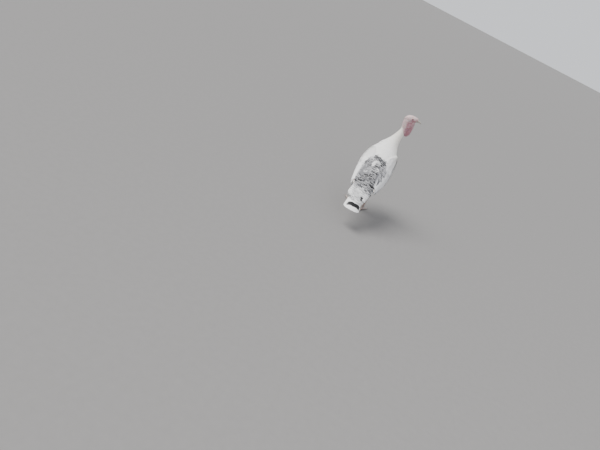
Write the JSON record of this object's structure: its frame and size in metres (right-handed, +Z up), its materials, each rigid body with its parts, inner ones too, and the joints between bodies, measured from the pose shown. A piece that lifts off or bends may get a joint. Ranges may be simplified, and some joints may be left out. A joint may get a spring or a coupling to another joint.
{
  "type": "domestic turkey",
  "caption": "Life-size still model of a standing white domestic turkey with dark-edged feathers, tail closed and low, head turned to one side.",
  "frame": {"origin": "middle of the bird's footprint box, at floor level under the feet", "axes": "+Z up; the bird's body faces -Y and its tail lies towards +Y; +X is the bird's left"},
  "size_m": [0.2532, 0.6524, 0.7305],
  "materials": {
    "plumage": "soft white feathers with dark edges",
    "bare_skin": "bare, wrinkled pink skin",
    "wattle": "bare, soft red skin",
    "bill": "pale horn",
    "eye": "wet and clear",
    "scales": "pinkish-grey leg scales",
    "claw": "horn"
  },
  "bodies": {
    "root": {"bill_lower": "bill", "bill_upper": "bill", "claw_hind_left": "claw", "claw_hind_right": "claw", "claw_inner_left": "claw", "claw_inner_right": "claw", "claw_middle_left": "claw", "claw_middle_right": "claw", "claw_outer_left": "claw", "claw_outer_right": "claw", "dewlap": "wattle", "eye_left": "eye", "eye_right": "eye", "foot_left": "scales", "foot_right": "scales", "head": "bare_skin", "neck_lower": "plumage", "neck_upper": "bare_skin", "shank_left": "scales", "shank_right": "scales", "snood": "wattle", "tail": "plumage", "thigh_left": "plumage", "thigh_right": "plumage", "trunk": "plumage", "wing_left": "plumage", "wing_right": "plumage"}
  },
  "joints": []
}
